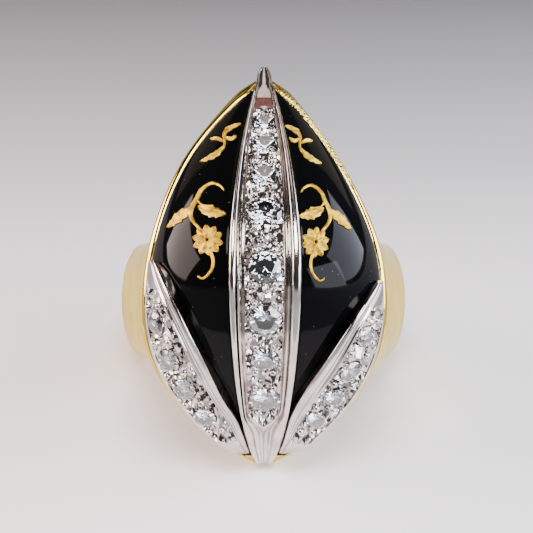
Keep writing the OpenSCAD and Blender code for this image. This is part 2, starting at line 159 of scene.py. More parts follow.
def crestHeight(z):
    run = ring["crestSlope"] * (z - ring["apexZ"])
    return ring["crestHeight"] + ring["crestRound"] - math.hypot(ring["crestRound"], run)


def crestFall(z):
    run = ring["crestSlope"] * (z - ring["apexZ"])
    return -ring["crestSlope"] * run / math.hypot(ring["crestRound"], run)


def domeHeight(z):
    rise = band["rise"] * (0.5 + 0.5 * bandHalf(z) / band["half"])
    return crestHeight(z) - rise * math.hypot(1, crestFall(z))


def rimHeight(z):
    share = (halfWidth(z) / ring["headHalf"]) ** ring["rimPower"]
    return ring["rimEnd"] + (ring["rimMiddle"] - ring["rimEnd"]) * share


def archAt(turn):
    # the dome's section: one on the crest, falling to nought a quarter turn to either side
    rise = math.sqrt(max(0, 1 - abs(math.sin(turn)) ** ring["archPower"]))
    return math.copysign(rise, math.cos(turn))


def skin(z, turn, side=1):
    # the enamel's surface: turn runs from a quarter turn left to a quarter turn right; what is
    # drawn for the right and then mirrored has -1 for its side
    low = rimHeight(z)
    x = halfWidth(z) * math.sin(turn) - side * fuller(z) * math.sin(turn) ** 2
    return Vector((x, -low - (domeHeight(z) - low) * archAt(turn), z))


def outOfSkin(z, turn, side=1):
    # square to two short steps over the surface
    across = skin(z, turn + 0.009, side) - skin(z, turn - 0.009, side)
    along = skin(z + 0.02, turn, side) - skin(z - 0.02, turn, side)
    return across.cross(along).normalized()


def onSkin(z, turn, off, side=1):
    return skin(z, turn, side) + outOfSkin(z, turn, side) * off


def turnAt(z, x):
    return math.asin(max(-1.0, min(1.0, x / halfWidth(z))))


def outOfCrest(z):
    return Vector((0, -1, -crestFall(z))).normalized()


def onCrest(z, x, off):
    return Vector((x, -crestHeight(z), z)) + outOfCrest(z) * off


def unevenRows(along, start, end):
    # rows lie closer together near both ends
    return start + (end - start) * (1 - math.cos(math.pi * along)) / 2


lean = math.radians(ring["restTilt"])
lieDown = Matrix((
    (1, 0, 0, 0),
    (0, math.cos(lean), math.sin(lean), ring["shiftY"]),
    (0, -math.sin(lean), math.cos(lean), ring["shiftZ"]),
    (0, 0, 0, 1),
))


def inPlace(point):
    return (lieDown @ Vector(point)) / 1000


def deselectAll():
    if bpy.context.object and bpy.context.object.mode != "OBJECT":
        bpy.ops.object.mode_set(mode="OBJECT")
    bpy.ops.object.select_all(action="DESELECT")


def growPlate(name, columns, rows, upperAt, lowerAt):
    # a grid is doubled into a closed plate, and each of its points goes to its place on the ring
    deselectAll()
    bpy.ops.mesh.primitive_grid_add(x_subdivisions=columns, y_subdivisions=rows, size=1)
    plate = bpy.context.object
    plate.name = name
    bpy.ops.object.mode_set(mode="EDIT")
    bpy.ops.mesh.select_all(action="SELECT")
    bpy.ops.mesh.extrude_region_move()
    bpy.ops.object.mode_set(mode="OBJECT")
    for vertex in plate.data.vertices:
        pointAt = upperAt if vertex.select else lowerAt
        vertex.co = inPlace(pointAt(vertex.co.x + 0.5, vertex.co.y + 0.5))
    bpy.ops.object.mode_set(mode="EDIT")
    bpy.ops.mesh.select_all(action="SELECT")
    bpy.ops.mesh.normals_make_consistent(inside=False)
    bpy.ops.object.mode_set(mode="OBJECT")
    return plate


def smoothByAngle(piece, degrees):
    deselectAll()
    piece.select_set(True)
    bpy.context.view_layer.objects.active = piece
    bpy.ops.object.shade_smooth_by_angle(angle=math.radians(degrees))


def joinTo(piece, others):
    deselectAll()
    for other in others:
        other.select_set(True)
    piece.select_set(True)
    bpy.context.view_layer.objects.active = piece
    bpy.ops.object.join()
    return piece


def frameOf(side, up, out, point):
    # a matrix from three axes and a place
    matrix = Matrix((side, up, out)).transposed().to_4x4()
    matrix.translation = point
    return matrix


def standAt(point, out):
    # a frame on the ring with its third axis along the way out
    side = Vector((-out.y, out.x, 0)).normalized()
    return frameOf(side, out.cross(side), out, point)


def moveMesh(piece, matrix):
    # a shape drawn in millimetres round the origin goes to its place on the ring
    toMetres = Matrix.Diagonal((0.001, 0.001, 0.001, 1))
    piece.data.transform(toMetres @ lieDown @ matrix)
    piece.data.update()


def copyOf(piece, name):
    twin = piece.copy()
    twin.data = piece.data.copy()
    twin.name = name
    bpy.context.collection.objects.link(twin)
    return twin


def fromHex(code):
    # sRGB as written, to the linear values that a shader takes
    channels = [int(code[i:i + 2], 16) / 255 for i in (1, 3, 5)]
    linear = [c / 12.92 if c <= 0.04045 else ((c + 0.055) / 1.055) ** 2.4 for c in channels]
    return (*linear, 1)


def perMm(size):
    # a texture's scale for a pattern of that many millimetres, in object coordinates
    return 1000 / size


def plugIn(tree, node, links):
    # each link comes from a socket, or from a node's first socket
    for key, source in links.items():
        if isinstance(source, bpy.types.Node):
            source = source.outputs[0]
        tree.links.new(source, node.inputs[key])


def addNode(tree, kind, settings=None, links=None):
    # each setting is a ramp's stops, the value of a socket or a property of the node
    node = tree.nodes.new(kind)
    for key, value in (settings or {}).items():
        if key == "stops":
            elements = node.color_ramp.elements
            while len(elements) < len(value):
                elements.new(0.5)
            for element, (position, code) in zip(elements, value):
                element.position = position
                element.color = fromHex(code)
        elif key in node.inputs:
            node.inputs[key].default_value = value
        else:
            setattr(node, key, value)
    plugIn(tree, node, links or {})
    return node


def newMaterial(name, settings):
    material = bpy.data.materials.new(name)
    material.use_nodes = True
    tree = material.node_tree
    shader = tree.nodes["Principled BSDF"]
    for key, value in settings.items():
        shader.inputs[key].default_value = value
    place = addNode(tree, "ShaderNodeTexCoord").outputs["Object"]
    return material, tree, shader, place


yellowGoldLook = {
    "tones": [(0.3, "#CDAC50"), (0.7, "#F0D974")],
    "edge": "#F0E09A",        # metals grow whiter at a glancing view, gold only a little
    "toneMm": 2.2,            # soft changes of tone
    "markMm": 0.09,           # polishing marks, drawn coarser than real ones to show
    "markStretch": (1, 0.12, 0.5),
    "markDetail": 4,
    "markRange": (0.3, 0.7),
    "roughness": (0.06, 0.13),     # between the marks and in them
    "relief": 0.12,
    "depth": 0.00002,
    "grainMm": 0.16,          # the torn grain at the rim's upper right
    "grainX": (0.0005, 0.0015),    # metres: where the grain begins and where it is full
    "grainZ": (0.0185, 0.0205),
}
whiteGoldLook = {
    "tones": [(0.35, "#B9B0AA"), (0.65, "#DAD3CE")],
    "toneMm": 1.6,
    "markMm": 0.07,           # polishing marks, drawn coarser than real ones to show
    "markStretch": (1, 0.3, 0.15),
    "markDetail": 4,
    "markRange": (0.3, 0.7),
    "roughness": (0.06, 0.2),
    "relief": 0.15,
    "depth": 0.00002,
}
inlayGoldLook = {
    "tones": [(0.35, "#A97F1E"), (0.62, "#F3CB3E")],
    "toneMm": 0.5,
    "markMm": 0.1,            # engraved lines, drawn coarser than real ones to show
    "markStretch": (1, 1, 1),
    "markDetail": 3,
    "markRange": (0.35, 0.65),
    "roughness": (0.3, 0.48),
    "relief": 0.8,
    "depth": 0.0001,
}


def workedGold(name, look):
    # what every gold here has: clouded tones, and fine marks that catch the light
    material, tree, shader, place = newMaterial(name, {"Metallic": 1})
    tone = addNode(
        tree, "ShaderNodeTexNoise", {"Scale": perMm(look["toneMm"]), "Detail": 3},
        {"Vector": place})
    colour = addNode(tree, "ShaderNodeValToRGB", {"stops": look["tones"]}, {"Fac": tone})
    stretched = addNode(
        tree, "ShaderNodeMapping", {"Scale": look["markStretch"]}, {"Vector": place})
    marks = addNode(
        tree, "ShaderNodeTexNoise",
        {"Scale": perMm(look["markMm"]), "Detail": look["markDetail"]}, {"Vector": stretched})
    rough = addNode(tree, "ShaderNodeMapRange", {
        "From Min": look["markRange"][0], "From Max": look["markRange"][1],
        "To Min": look["roughness"][0], "To Max": look["roughness"][1]}, {"Value": marks})
    bump = addNode(
        tree, "ShaderNodeBump", {"Strength": look["relief"], "Distance": look["depth"]},
        {"Height": marks})
    plugIn(tree, shader, {"Base Color": colour, "Roughness": rough, "Normal": bump})
    return material, tree, shader, place, bump


def yellowGoldPolished():
    # 18 carat yellow gold, cast, soldered and polished by hand: bright, pale, finely scratched,
    # with a rough torn grain left along the upper right of the rim
    look = yellowGoldLook
    material, tree, shader, place, fine = workedGold("yellowGoldPolished", look)
    shader.inputs["Specular Tint"].default_value = fromHex(look["edge"])
    parts = addNode(tree, "ShaderNodeSeparateXYZ", links={"Vector": place})
    rightSide, highUp = (
        addNode(
            tree, "ShaderNodeMapRange", {"From Min": start, "From Max": end},
            {"Value": parts.outputs[axis]})
        for axis, (start, end) in (("X", look["grainX"]), ("Z", look["grainZ"])))
    torn = addNode(
        tree, "ShaderNodeMath", {"operation": "MULTIPLY"}, {0: rightSide, 1: highUp})
    grain = addNode(
        tree, "ShaderNodeTexNoise", {"Scale": perMm(look["grainMm"]), "Detail": 2},
        {"Vector": place})
    height = addNode(tree, "ShaderNodeMath", {"operation": "MULTIPLY"}, {0: torn, 1: grain})
    coarse = addNode(
        tree, "ShaderNodeBump", {"Strength": 0.9, "Distance": 0.00012},
        {"Height": height, "Normal": fine})
    plugIn(tree, shader, {"Normal": coarse})
    return material


def whiteGoldPolished():
    # 18 carat white gold, rolled, soldered and polished: mirror bright, slightly warm, worn
    return workedGold("whiteGoldPolished", whiteGoldLook)[0]


def inlayGoldEngraved():
    # high carat gold foil set in the enamel and engraved: warm, satin, with fine cut lines
    return workedGold("inlayGoldEngraved", inlayGoldLook)[0]


enamelLook = {
    "black": "#060607",
    "speck": "#6E7478",
    "ior": 1.52,
    "mirror": 0.075,          # well under the usual 0.5, or the pale floor would grey the black
    "smooth": 0.03,           # roughness where it is clean and where it is hazed by wear
    "hazed": 0.1,
    "hazeMm": 1.2,
    "waveMm": 3.0,            # slight unevenness of a surface fired and stoned by hand
    "pitMm": 0.7,             # spacing of pinholes and dust
}


def blackEnamelFired():
    # black glass enamel, fired in its tray and polished flush: deep black, wet gloss, few pinholes
    look = enamelLook
    material, tree, shader, place = newMaterial(
        "blackEnamelFired", {"IOR": look["ior"], "Specular IOR Level": look["mirror"]})
    pits = addNode(
        tree, "ShaderNodeTexVoronoi", {"Scale": perMm(look["pitMm"])}, {"Vector": place})
    colour = addNode(
        tree, "ShaderNodeValToRGB", {"stops": [(0.02, look["speck"]), (0.05, look["black"])]},
        {"Fac": pits})
    haze = addNode(
        tree, "ShaderNodeTexNoise", {"Scale": perMm(look["hazeMm"]), "Detail": 5},
        {"Vector": place})
    rough = addNode(
        tree, "ShaderNodeMapRange",
        {"From Min": 0.35, "From Max": 0.75, "To Min": look["smooth"], "To Max": look["hazed"]},
        {"Value": haze})
    wave = addNode(
        tree, "ShaderNodeTexNoise", {"Scale": perMm(look["waveMm"]), "Detail": 1},
        {"Vector": place})
    bump = addNode(
        tree, "ShaderNodeBump", {"Strength": 0.5, "Distance": 0.00006}, {"Height": wave})
    plugIn(tree, shader, {"Base Color": colour, "Roughness": rough, "Normal": bump})
    return material


diamondLook = {
    "body": "#F4F5F7",
    "smudge": "#DCDDE0",
    "ior": 2.418,
    "greasy": 0.04,           # roughness under a film of grease
    "smudgeMm": 0.9,
}


def diamondCut():
    # diamond, faceted and polished: hard sparkle, strong refraction, a little skin grease
    look = diamondLook
    material, tree, shader, place = newMaterial(
        "diamondCut", {"Transmission Weight": 1, "IOR": look["ior"]})
    film = addNode(
        tree, "ShaderNodeTexNoise", {"Scale": perMm(look["smudgeMm"]), "Detail": 2},
        {"Vector": place})
    colour = addNode(
        tree, "ShaderNodeValToRGB", {"stops": [(0.4, look["smudge"]), (0.6, look["body"])]},
        {"Fac": film})
    rough = addNode(
        tree, "ShaderNodeMapRange",
        {"From Min": 0.4, "From Max": 0.8, "To Min": 0.0, "To Max": look["greasy"]},
        {"Value": film})
    plugIn(tree, shader, {"Base Color": colour, "Roughness": rough})
    return material


paperPaintedFalloffLook = {
    "from": -0.03,            # metres along the floor, in front of the ring and behind it
    "to": 0.09,
    # painted shade: the tones darken the paper the further it lies behind the ring, standing in for
    # the light's falloff
    "tones": [
        (0.08, "#F6F2F3"), (0.29, "#ECE8E9"), (0.43, "#D8D6D8"),
        (0.6, "#ABABAD"), (0.79, "#858687"), (0.97, "#656667"),
    ],
    "toothMm": 0.6,
}


def backdropPaperPaintedFalloff():
    # studio paper, matt, with painted light falloff: near white in front, darkening into grey
    # behind the ring as painted shade
    look = paperPaintedFalloffLook
    material, tree, shader, place = newMaterial("backdropPaperPaintedFalloff", {"Roughness": 0.8})
    parts = addNode(tree, "ShaderNodeSeparateXYZ", links={"Vector": place})
    along = addNode(
        tree, "ShaderNodeMapRange", {"From Min": look["from"], "From Max": look["to"]},
        {"Value": parts.outputs["Y"]})
    # painted shade: the paper's colour darkens along y, behind the ring
    colour = addNode(tree, "ShaderNodeValToRGB", {"stops": look["tones"]}, {"Fac": along})
    tooth = addNode(
        tree, "ShaderNodeTexNoise", {"Scale": perMm(look["toothMm"]), "Detail": 4},
        {"Vector": place})
    bump = addNode(
        tree, "ShaderNodeBump", {"Strength": 0.05, "Distance": 0.00005}, {"Height": tooth})
    plugIn(tree, shader, {"Base Color": colour, "Normal": bump})
    return material


stoneLook = {"light": "#8C8D8F", "deep": "#808183", "cloudMm": 30}


def stoneTable():
    # pale honed limestone under the paper: matt, faintly clouded
    look = stoneLook
    material, tree, shader, place = newMaterial("stoneTable", {"Roughness": 0.9})
    cloud = addNode(
        tree, "ShaderNodeTexNoise", {"Scale": perMm(look["cloudMm"]), "Detail": 4},
        {"Vector": place})
    colour = addNode(
        tree, "ShaderNodeValToRGB", {"stops": [(0.3, look["deep"]), (0.7, look["light"])]},
        {"Fac": cloud})
    plugIn(tree, shader, {"Base Color": colour})
    return material


yellowGold = yellowGoldPolished()
inlayGold = inlayGoldEngraved()
whiteGold = whiteGoldPolished()
blackEnamel = blackEnamelFired()
diamond = diamondCut()


def finishPiece(piece, material, nodes):
    piece.data.materials.clear()
    piece.data.materials.append(material)
    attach(piece, "root")
    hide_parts(*nodes)


# the hollow domed shell with its tray for the enamel and its thin raised rim
shell = {
    "columns": 120,
    "rows": 170,
    "tray": 0.46,
    "rimWidths": [
        (-3, 0.3), (0, 0.4), (7, 0.38), (10.5, 0.34), (12, 0.42), (13.5, 0.62), (14.9, 1.0),
    ],
    "rimShare": 0.5,
    # across the rim, from the enamel to its foot outside: a bevel that faces forwards, then a wall
    "rimRound": [
        (0, 0), (0.06, 0.04), (0.3, 0.2), (0.38, 0.22), (0.5, 0.2), (0.75, 0.09), (1, 0.02),
    ],
    "trayTo": 0.68,           # shares of the columns, from the middle out: the tray's floor ends
    "rimFrom": 0.72,          # here, and the rim begins
    "slimHalf": 1.6,
    "broadHalf": 2.6,
    "hollowAcross": 0.878,
    "hollowPinch": 0.35,
    "hollowAlong": 0.86,
    "hollowUp": 0.8,
    "hollowZ": 1.5,
}
shank = {
    "backThick": 1.6,
    "sideThick": 2.2,
    "backWidth": 3.6,
    "sideWidth": 8.6,
    "edge": 0.5,
    "turnEnd": 148,
    "lipEnd": 140,
    "lean": 0.209,
    "innerEnd": 14.45,
    "crownLoss": 0.45,
    "crownShare": 0.94,       # share of the columns that the crown gets
    "columns": 40,
    "rows": 190,
}


def fullAt(z):
    # nought where the head is too slim for a tray, one where it is broad enough
    share = (halfWidth(z) - shell["slimHalf"]) / (shell["broadHalf"] - shell["slimHalf"])
    return max(0.0, min(1.0, share))


def rimStrip(z):
    return min(shell["rimShare"] * halfWidth(z), softLookup(z, shell["rimWidths"], 0.4))


def rimTurn(z):
    return math.asin(1 - rimStrip(z) / halfWidth(z))


def shellUpper(across, along):
    z = unevenRows(along, ring["footZ"], ring["shellTipZ"])
    full = fullAt(z)
    edge = rimTurn(z)
    side = across * 2 - 1
    share = abs(side)
    if share > shell["rimFrom"]:
        # the rim, with more of the columns on its bevel; it is lower where the head is slim
        strip = (share - shell["rimFrom"]) / (1 - shell["rimFrom"])
        turn = edge + (math.pi / 2 - edge) * strip ** 2
        off = lookup(strip, shell["rimRound"]) * (0.4 + 0.6 * full)
    elif share > shell["trayTo"]:
        # the tray's wall leans a little, so that no two of its corners meet
        down = (shell["rimFrom"] - share) / (shell["rimFrom"] - shell["trayTo"])
        turn = edge - 0.004 - 0.003 * down
        off = 0.02 - shell["tray"] * full * down
    else:
        turn = (edge - 0.01) * share / shell["trayTo"]
        off = -shell["tray"] * full
    return onSkin(z, math.copysign(turn, side), off)


def shellLower(across, along):
    # the hollow: a smaller dome inside the shell, narrower where the head is slim
    z = unevenRows(along, ring["footZ"], ring["shellTipZ"])
    at = shell["hollowZ"] + (z - shell["hollowZ"]) * shell["hollowAlong"]
    turn = (across - 0.5) * math.pi
    wide = shell["hollowAcross"] - shell["hollowPinch"] * (1 - fullAt(z))
    up = shell["hollowUp"] * (domeHeight(z) - rimHeight(z)) * archAt(turn)
    x = wide * halfWidth(z) * math.sin(turn) - fuller(at) * math.sin(turn) ** 2
    return Vector((x, -rimHeight(at) - up, at))


def shankRadii(turn):
    degrees = abs(math.degrees(turn))
    if degrees > 90:
        # past its widest place the outside runs straight up to the shell, leaning inwards a little
        over = (degrees - 90) / (shank["turnEnd"] - 90)
        crown = (shank["sideThick"] - shank["edge"]) * (1 - shank["crownLoss"] * over)
        outer = ring["fingerRadius"] + shank["sideThick"]
        foot = outer / (abs(math.sin(turn)) - shank["lean"] * math.cos(turn))
        return shank["sideWidth"] / 2, crown, foot - crown
    swell = math.sin(turn) ** 2
    wide = shank["backWidth"] / 2 + (shank["sideWidth"] - shank["backWidth"]) / 2 * swell
    crown = shank["backThick"] - shank["edge"] + (shank["sideThick"] - shank["backThick"]) * swell
    return wide, crown, ring["fingerRadius"] + shank["edge"]


def shankInner(turn):
    # the finger hole's radius; past the lip's end the inside runs straight out into the shell
    degrees = abs(math.degrees(turn))
    over = degrees - shank["lipEnd"]
    start = ring["fingerRadius"]
    if over <= 0:
        return start
    inner = shank["innerEnd"]
    rest = math.radians(shank["turnEnd"] - degrees)
    return start * inner * math.sin(math.radians(shank["turnEnd"] - shank["lipEnd"])) / (
        inner * math.sin(rest) + start * math.sin(math.radians(over)))


def shankUpper(across, along):
    turn = math.radians((along * 2 - 1) * shank["turnEnd"])
    wide, crown, edge = shankRadii(turn)
    side = across * 2 - 1
    if abs(side) > shank["crownShare"]:
        # the straight edge under the crown, which ends short of the finger side
        drop = (abs(side) - shank["crownShare"]) / (1 - shank["crownShare"])
        bend = math.copysign(math.pi / 2, side)
        reach = edge - (edge - shankInner(turn)) * drop * 0.8
    else:
        bend = side * math.pi / 2 / shank["crownShare"]
        reach = edge + crown * math.cos(bend)
    return Vector((reach * math.sin(turn), reach * math.cos(turn), wide * math.sin(bend)))


def shankLower(across, along):
    turn = math.radians((along * 2 - 1) * shank["turnEnd"])
    wide, _, _ = shankRadii(turn)
    reach = shankInner(turn)
    side = across * 2 - 1
    # the finger side is a little narrower, which eases its edges
    z = side * (wide - 0.1 - 0.12 * (1 - abs(side)))
    return Vector((reach * math.sin(turn), reach * math.cos(turn), z))


goldBody = growPlate("goldBody", shell["columns"], shell["rows"], shellUpper, shellLower)
smoothByAngle(goldBody, 38)
goldShank = growPlate("goldShank", shank["columns"], shank["rows"], shankUpper, shankLower)
smoothByAngle(goldShank, 38)
finishPiece(goldBody, yellowGold, ["gold_shank_and_shell"])
finishPiece(goldShank, yellowGold, ["gold_shank_and_shell"])
print("gold shell and shank done")

# the enamel lies in the tray in two panels with eased edges
enamel = {
    "footZ": -10.9,
    "tipZ": 15.0,
    "easedEdge": 0.09,
    "easedDepth": 0.05,
    "aboveTray": 0.03,
    "columns": 70,
    "rows": 150,
}


def enamelTurns(z):
    room = ring["gap"] / 2
    return turnAt(z, bandHalf(z) + room), turnAt(z, halfWidth(z) - rimStrip(z) - room)


def enamelPoint(across, along, upper, side):
    z = unevenRows(along, enamel["footZ"], enamel["tipZ"])
    start, end = enamelTurns(z)
    turn = start + (end - start) * across
    edge = min(across, 1 - across) * (end - start) * halfWidth(z)
    eased = enamel["easedDepth"] * (1 - smooth(edge / enamel["easedEdge"]))
    off = -eased if upper else enamel["aboveTray"] - shell["tray"] * fullAt(z)
    point = onSkin(z, turn, off, side)
    point.x *= side
    return point


for side, name in ((-1, "Left"), (1, "Right")):
    panel = growPlate(
        "enamel" + name, enamel["columns"], enamel["rows"],
        lambda across, along: enamelPoint(across, along, True, side),
        lambda across, along: enamelPoint(across, along, False, side))
    smoothByAngle(panel, 50)
    finishPiece(panel, blackEnamel, ["enamel_" + name.lower()])
print("enamel done")

# bright cuts: small flat facets at chance angles, as a graver leaves them between the stones
cuts = {
    "facet": 0.42,
    "wander": 0.7,            # how far a facet's middle strays, as a share of its size
    "tilt": 0.75,
    "step": 0.05,
    "seatRoom": 0.03,
    "seatDrop": 0.05,
    "seatDepth": 0.42,        # share of the stone's diameter
    "seed": 11,
}
cutFacets = {}


def brightCut(x, s):
    size = cuts["facet"]
    best = None
    for i in range(math.floor(x / size) - 1, math.floor(x / size) + 2):
        for j in range(math.floor(s / size) - 1, math.floor(s / size) + 2):
            if (i, j) not in cutFacets:
                # two large primes give each facet a seed of its own
                roll = random.Random(cuts["seed"] + i * 7919 + j * 104729)
                cutFacets[(i, j)] = [roll.random() for _ in range(5)]
            facet = cutFacets[(i, j)]
            dx = x - (i + 0.5 + cuts["wander"] * (facet[0] - 0.5)) * size
            ds = s - (j + 0.5 + cuts["wander"] * (facet[1] - 0.5)) * size
            if best is None or dx * dx + ds * ds < best[0]:
                best = (dx * dx + ds * ds, dx, ds, facet)
    _, dx, ds, facet = best
    slope = dx * (facet[2] * 2 - 1) + ds * (facet[3] * 2 - 1)
    return cuts["tilt"] * slope + cuts["step"] * (facet[4] - 0.5)


def cutBed(x, s, fromStones):
    # the height of a bed: pits that follow the stones' pavilions, and bright cuts between them
    for distance, diameter in fromStones:
        radius = diameter / 2 + cuts["seatRoom"]
        if distance < radius:
            return -cuts["seatDrop"] - cuts["seatDepth"] * diameter * (1 - distance / radius)
    return brightCut(x, s)


# the band's rails: place across from 0 outside to 1 at the bed, height; the right-hand rail has
# one ridge and a tall inner wall, the left-hand one has two ridges
railLeft = [
    (0, -0.30), (0.02, -0.16), (0.06, -0.07), (0.13, -0.02), (0.22, 0.0), (0.34, -0.02),
    (0.42, -0.08), (0.46, -0.36), (0.50, -0.36), (0.54, -0.12), (0.60, -0.08), (0.68, -0.10),
    (0.74, -0.20), (0.84, -0.60), (0.90, -0.64), (1, -0.42),
]
railRight = [
    (0, -0.30), (0.02, -0.16), (0.06, -0.07), (0.13, -0.02), (0.24, 0.0), (0.36, -0.01),
    (0.46, -0.05), (0.52, -0.16), (0.56, -0.45), (0.64, -0.98), (0.74, -1.0), (0.84, -0.62),
    (0.93, -0.46), (1, -0.42),
]


def bedHalfAt(z):
    half = bandHalf(z)
    wide = min(band["bedShare"] * half, band["bedHalf"] * (half / band["half"]) ** 0.6)
    # below the last stone the bed closes to a narrow line
    below = smooth((band["bedFootZ"] + 0.3 - z) / 1.5)
    return wide * (1 - 0.93 * below)


def bedFade(z):
    # one along the bed, easing to nought past both of its ends
    return smooth(1 + 1.6 * (band["bedTipZ"] - z)) * smooth(1 + 1.6 * (z - band["bedFootZ"]))


def bandZ(along):
    # the last row stops short of the horn's tip, where the band has no width
    return ring["footZ"] + (ring["tipZ"] - 0.1 - ring["footZ"]) * along


def hornRound(z, x):
    # the horn at the tip is rounded across
    share = smooth((z - band["hornFromZ"]) / 0.9)
    return band["hornCrown"] * share * (x / bandHalf(z)) ** 2


def bandUpper(across, along):
    z = bandZ(along)
    half = bandHalf(z)
    small = half / band["half"]
    bed = bedHalfAt(z)
    shift = band["bedShift"] * small
    side = across * 2 - 1
    c = (1 - abs(side)) / (band["railShare"] * 2)
    if c < 1:
        x = math.copysign(half - c * (half - bed), side) + shift * c
        off = lookup(c, railRight if side > 0 else railLeft) * small
        if c > 0.5:
            # past the bed's ends the rails are shallower inside
            off *= 0.6 + 0.4 * bedFade(z)
        return onCrest(z, x, off - hornRound(z, x))
    x = bed * side / (1 - band["railShare"] * 2)
    # both ends of the bed are rounded off across it
    fade = bedFade(z + 0.5 * math.copysign((x / bed) ** 2, z))
    # the plain metal past the ends, with a ridge along its middle below the last stone
    ridge = 0.34 * small * (1 - abs(x) / bed) if z < 0 else 0
    plain = ridge - 0.2 * small - lookup(z, band["plateDrop"])
    off = plain + (0.05 - band["bedDepth"] - plain) * fade
    if fade > 0.5:
        fromStones = [
            (math.hypot(x + shift, (z - stoneZ) * math.hypot(1, crestFall(stoneZ))), diameter)
            for stoneZ, diameter in centreStones if abs(z - stoneZ) < diameter]
        off += cutBed(x, z * 1.3, fromStones)
    return onCrest(z, x + shift, max(off, -1.3) - hornRound(z, x))


def bandLower(across, along):
    z = bandZ(along)
    x = (across * 2 - 1) * bandHalf(z)
    if z > ring["shellTipZ"] - 0.01:
        return Vector((x, -domeHeight(z) - ring["gap"], z))
    point = onSkin(z, turnAt(z, x), ring["gap"] - shell["tray"] * fullAt(z))
    # the horn is wider than the shell's tip below it
    point.x += x - max(-halfWidth(z), min(halfWidth(z), x))
    return point


# raised beads of metal that hold the stones; how much each is stretched across and upwards
beads = {
    "radius": 0.25,
    "bandWide": (0.8, 1.05),
    "bandTall": (0.8, 1.1),
    "leafWide": (0.85, 1.1),
    "leafTall": (0.9, 1.2),
    "bandAway": 0.16,         # from the stone's edge
    "bandSink": 0.33,
    "seed": 5,
}
beadChance = random.Random(beads["seed"])


def makeBead(name, wide, tall):
    stretch = [beadChance.uniform(*limits) for limits in (wide, wide, tall)]
    deselectAll()
    bpy.ops.mesh.primitive_ico_sphere_add(subdivisions=2, radius=beads["radius"])
    bead = bpy.context.object
    bead.name = name
    bpy.ops.object.mode_set(mode="EDIT")
    bpy.ops.mesh.select_all(action="SELECT")
    bpy.ops.transform.resize(value=stretch)
    bpy.ops.object.mode_set(mode="OBJECT")
    return bead


centreBand = growPlate("centreBand", band["columns"], band["rows"], bandUpper, bandLower)
smoothByAngle(centreBand, 28)
bandBeads = []
for stoneZ, diameter in centreStones:
    for way in (-1, 1):
        for side in (-1, 1):
            bead = makeBead(f"bandBead{len(bandBeads)}", beads["bandWide"], beads["bandTall"])
            away = diameter / 2 + beads["bandAway"]
            z = stoneZ + way * away / math.hypot(1, crestFall(stoneZ))
            x = side * 0.3 * diameter + beadChance.uniform(-0.04, 0.04)
            moveMesh(bead, standAt(onCrest(z, x, -beads["bandSink"]), outOfCrest(z)))
            smoothByAngle(bead, 80)
            bandBeads.append(bead)
joinTo(centreBand, bandBeads)
finishPiece(centreBand, whiteGold, ["centre_band"])
print("centre band done")

# the leaves at the lower sides, both worked out for the right
leaf = {
    "footZ": -10.35,
    "drop": 0.65,             # its outer edge is the head's, moved up and inwards
    "inset": 0.45,
    "lift": 0.3,              # heights over the enamel, with the outer side raised
    "thick": 0.38,
    "raise": 0.55,
    "fullWidth": 1.6,
    "topReach": 0.9,
    "plateLength": 1.9,
    "plateHeight": 0.2,
    "columns": 84,
    "rows": 150,
    "wallShare": 0.16,        # shares of the columns for the leaning wall and for the rail
    "railShare": 0.34,
    "beadAbove": 1.05,        # along the leaf from the first stone up, and from the last one down
    "beadBelow": 0.9,
    "beadAside": 0.17,        # share of the leaf's width from the middle of the stones
    "beadLift": 0.04,
}
# edges: place along the finger, then distances from the middle of the wall's foot, of the
# rail's inner edge and of its outer edge; stones: place along, place across, diameter
leafSides = {
    "left": {
        "sign": -1, "tipZ": 2.9,
        "edges": [
            (-10.6, 1, 1.05, 1.4), (-8.1, 1.7, 1.85, 2.55), (-6.6, 2.3, 2.85, 3.6),
            (-3.8, 3.8, 4.1, 5.1), (-1, 5.1, 5.45, 6.4), (1.7, 6.25, 6.8, 7.55),
            (2.3, 6.5, 7.1, 7.7), (2.8, 7.1, 7.4, 7.8), (3.4, 7.6, 7.75, 7.85),
        ],
        "stones": [
            (-0.8, 0.74, 1.60), (-3.2, 0.71, 1.72), (-5.15, 0.69, 1.70), (-7.2, 0.7, 1.60),
        ],
    },
    "right": {
        "sign": 1, "tipZ": 1.6,
        "edges": [
            (-10.6, 1, 1.05, 1.35), (-8.1, 1.6, 1.7, 2.5), (-6.7, 1.9, 2.3, 3.4),
            (-4.5, 3.4, 3.7, 4.9), (-1.7, 5.15, 5.5, 6.4), (-0.4, 5.95, 6.4, 7.15),
            (0.6, 6.7, 7.1, 7.75), (1.2, 7.3, 7.55, 8.0), (1.9, 7.85, 7.95, 8.05),
        ],
        "stones": [
            (-1.65, 0.6, 1.50), (-3.95, 0.63, 1.60), (-5.8, 0.63, 1.56), (-7.35, 0.57, 1.40),
        ],
    },
}
# place across the rail from 0 at its inner edge to 1 at the bed, height
leafRail = [
    (0, 0.10), (0.04, 0.22), (0.10, 0.29), (0.22, 0.33), (0.36, 0.33), (0.48, 0.29), (0.56, 0.22),
    (0.62, 0.16), (0.72, 0.15), (0.80, 0.18), (0.86, 0.25), (0.92, 0.27), (0.97, 0.23), (1, 0.08),
]


def leafEdge(part, z, column):
    return softLookup(z, [(row[0], row[column]) for row in part["edges"]], 0.5)


def seenZ(z):
    # seen from the front, the leaf's top lies a little lower than its foot
    return z + leaf["topReach"] * outOfCrest(z).z


def leafIn(part, z):
    return max(bandHalf(seenZ(z)) + ring["gap"], leafEdge(part, seenZ(z), 2))


def leafOut(z):
    # near its foot the leaf keeps closer to the rim
    ease = smooth((-8.3 - z) / 2)
    return halfWidth(z - leaf["drop"] - 0.1 * ease) - leaf["inset"] * (1 - 0.75 * ease)


def leafWidth(part, z):
    return max(0.05, leafOut(z) - leafIn(part, z))


